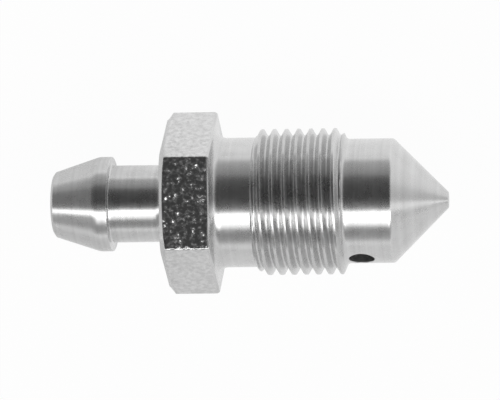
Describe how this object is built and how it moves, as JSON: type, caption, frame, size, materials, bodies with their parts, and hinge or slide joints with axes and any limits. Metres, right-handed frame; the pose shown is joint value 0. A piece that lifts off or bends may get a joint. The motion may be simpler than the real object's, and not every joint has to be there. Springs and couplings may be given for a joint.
{
  "type": "bleeder screw",
  "caption": "Steel bleeder screw with a barbed hose nipple, hexagon, fine thread, drilled side port and conical seat, for letting air and fluid out of a hydraulic brake.",
  "frame": {"origin": "on the screw's axis, at the middle of the threaded length", "axes": "+X along the axis from the hose nipple to the sealing cone; +Z square to one flat of the hexagon, so that the screw lies on the opposite flat; +Y towards a corner of the hexagon"},
  "size_m": [0.0326, 0.015, 0.013],
  "materials": {
    "plated_steel": "turned and bright zinc plated, with rougher flats on the hexagon"
  },
  "bodies": {
    "root": {"bleeder_screw": "plated_steel"}
  },
  "joints": []
}
